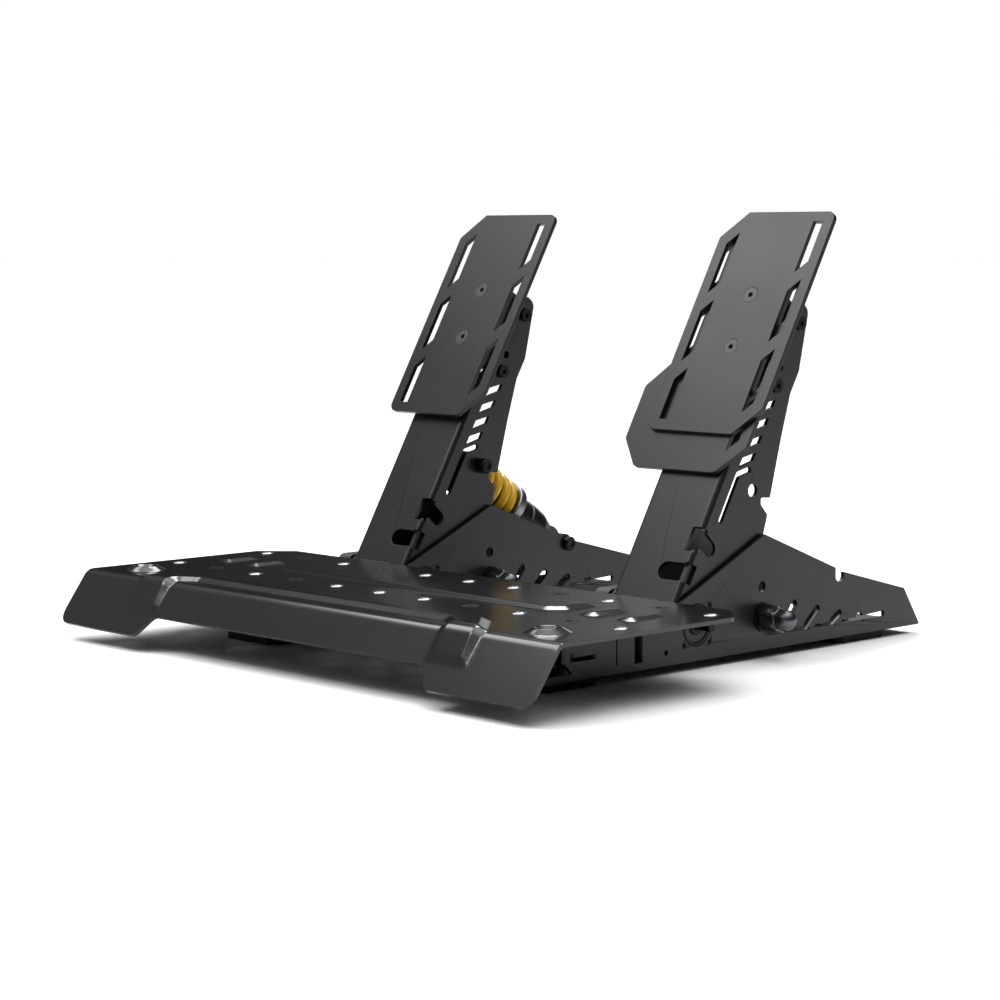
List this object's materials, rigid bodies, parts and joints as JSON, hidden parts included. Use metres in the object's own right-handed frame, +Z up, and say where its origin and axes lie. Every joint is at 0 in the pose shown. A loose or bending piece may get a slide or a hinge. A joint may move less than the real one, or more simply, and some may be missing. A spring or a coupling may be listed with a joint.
{
  "type": "sim racing pedal set",
  "caption": "Two-pedal floor set for a driving simulator: pressed heel plate, channel brackets, hinged arms with slotted face plates and a spring damper.",
  "frame": {"origin": "on the floor, in the middle of the footprint", "axes": "+Z up, the driver sits at -Y, +X to the driver's right, on the throttle's side"},
  "size_m": [0.43, 0.4189, 0.2706],
  "materials": {
    "powder_coat": "fine-textured dark grey powder coat",
    "black_zinc": "black zinc plate, satin",
    "plain_steel": "ground steel",
    "spring_steel": "drawn wire",
    "rod_chrome": "hard chrome",
    "collar_grey": "satin turned",
    "spring_yellow": "gloss yellow coat",
    "damper_black": "satin black",
    "rubber": "moulded, matte",
    "black_plastic": "moulded, fine grain",
    "circuit_board": "solder mask",
    "socket_metal": "nickel"
  },
  "bodies": {
    "base": {"heel_plate": "powder_coat", "heel_plate_screws": "black_zinc", "brake_bracket": "powder_coat", "throttle_bracket": "powder_coat", "brake_front_foot": "rubber", "brake_rear_foot": "rubber", "throttle_front_foot": "rubber", "throttle_rear_foot": "rubber", "foot_screws": "plain_steel", "brake_bearing_carriers": "black_zinc", "throttle_bearing_carriers": "black_zinc", "brake_bearings": "plain_steel", "throttle_bearings": "plain_steel", "carrier_screws": "black_zinc", "sensor_screws": "black_zinc", "brake_sensor_housing": "black_plastic", "throttle_sensor_housing": "black_plastic", "brake_sensor_board": "circuit_board", "throttle_sensor_board": "circuit_board", "brake_cross_bolt": "black_zinc", "throttle_cross_bolt": "black_zinc", "brake_bolt_washer": "black_zinc", "throttle_bolt_washer": "black_zinc", "brake_dome_nut": "black_zinc", "throttle_dome_nut": "black_zinc", "brake_stop_sleeve": "rubber", "throttle_stop_sleeve": "rubber", "brake_rest_buffer": "rubber", "throttle_rest_buffer": "rubber", "throttle_return_spring": "spring_steel", "damper_rear_pin": "black_zinc", "damper_rear_spacers": "black_zinc", "control_box": "black_plastic", "control_box_lid": "black_plastic", "control_board": "circuit_board", "socket_block": "socket_metal"},
    "brake_pedal": {"brake_arm": "powder_coat", "brake_pivot_shaft": "black_zinc", "brake_magnet": "plain_steel", "brake_pad_bracket": "powder_coat", "brake_pad_spacer": "black_zinc", "brake_pad_bracket_screws": "black_zinc", "brake_face_plate": "powder_coat", "brake_face_screws": "black_zinc", "damper_front_pin": "black_zinc", "damper_front_spacers": "black_zinc"},
    "throttle_pedal": {"throttle_arm": "powder_coat", "throttle_pivot_shaft": "black_zinc", "throttle_magnet": "plain_steel", "throttle_pad_bracket": "powder_coat", "throttle_pad_bracket_screws": "black_zinc", "throttle_face_plate": "powder_coat", "throttle_lower_plate": "powder_coat", "throttle_face_screws": "black_zinc"},
    "damper_barrel": {"damper_body": "damper_black", "damper_collar": "collar_grey", "damper_spring": "spring_yellow"},
    "damper_plunger": {"damper_rod": "rod_chrome", "damper_eye": "black_zinc"}
  },
  "joints": [
    {"name": "throttle_press", "type": "hinge", "parent": "base", "child": "throttle_pedal", "pos_m": [0.12, -0.00559, 0.0268], "axis": [-1, 0, 0], "range_deg": [0, 20], "stiffness_Nm_per_rad": 9, "springref_deg": -11.46, "deforming": ["throttle_return_spring"]},
    {"name": "brake_press", "type": "hinge", "parent": "base", "child": "brake_pedal", "pos_m": [-0.12, -0.00559, 0.0268], "axis": [-1, 0, 0], "range_deg": [0, 8], "stiffness_Nm_per_rad": 260, "springref_deg": -2.29},
    {"name": "damper_swing", "type": "hinge", "parent": "base", "child": "damper_barrel", "pos_m": [-0.12, 0.12751, 0.0441], "axis": [1, 0, 0], "range_deg": [-1, 1.5]},
    {"name": "damper_stroke", "type": "slide", "parent": "damper_barrel", "child": "damper_plunger", "axis": [0, 0.8069, -0.5906], "range_m": [-0.0005, 0.0135], "deforming": ["damper_spring"]}
  ],
  "couplings": [
    {"joint": "damper_swing", "follows": "brake_press", "ratio": 0.03571},
    {"joint": "damper_stroke", "follows": "brake_press", "m_per_rad": 0.09241}
  ]
}
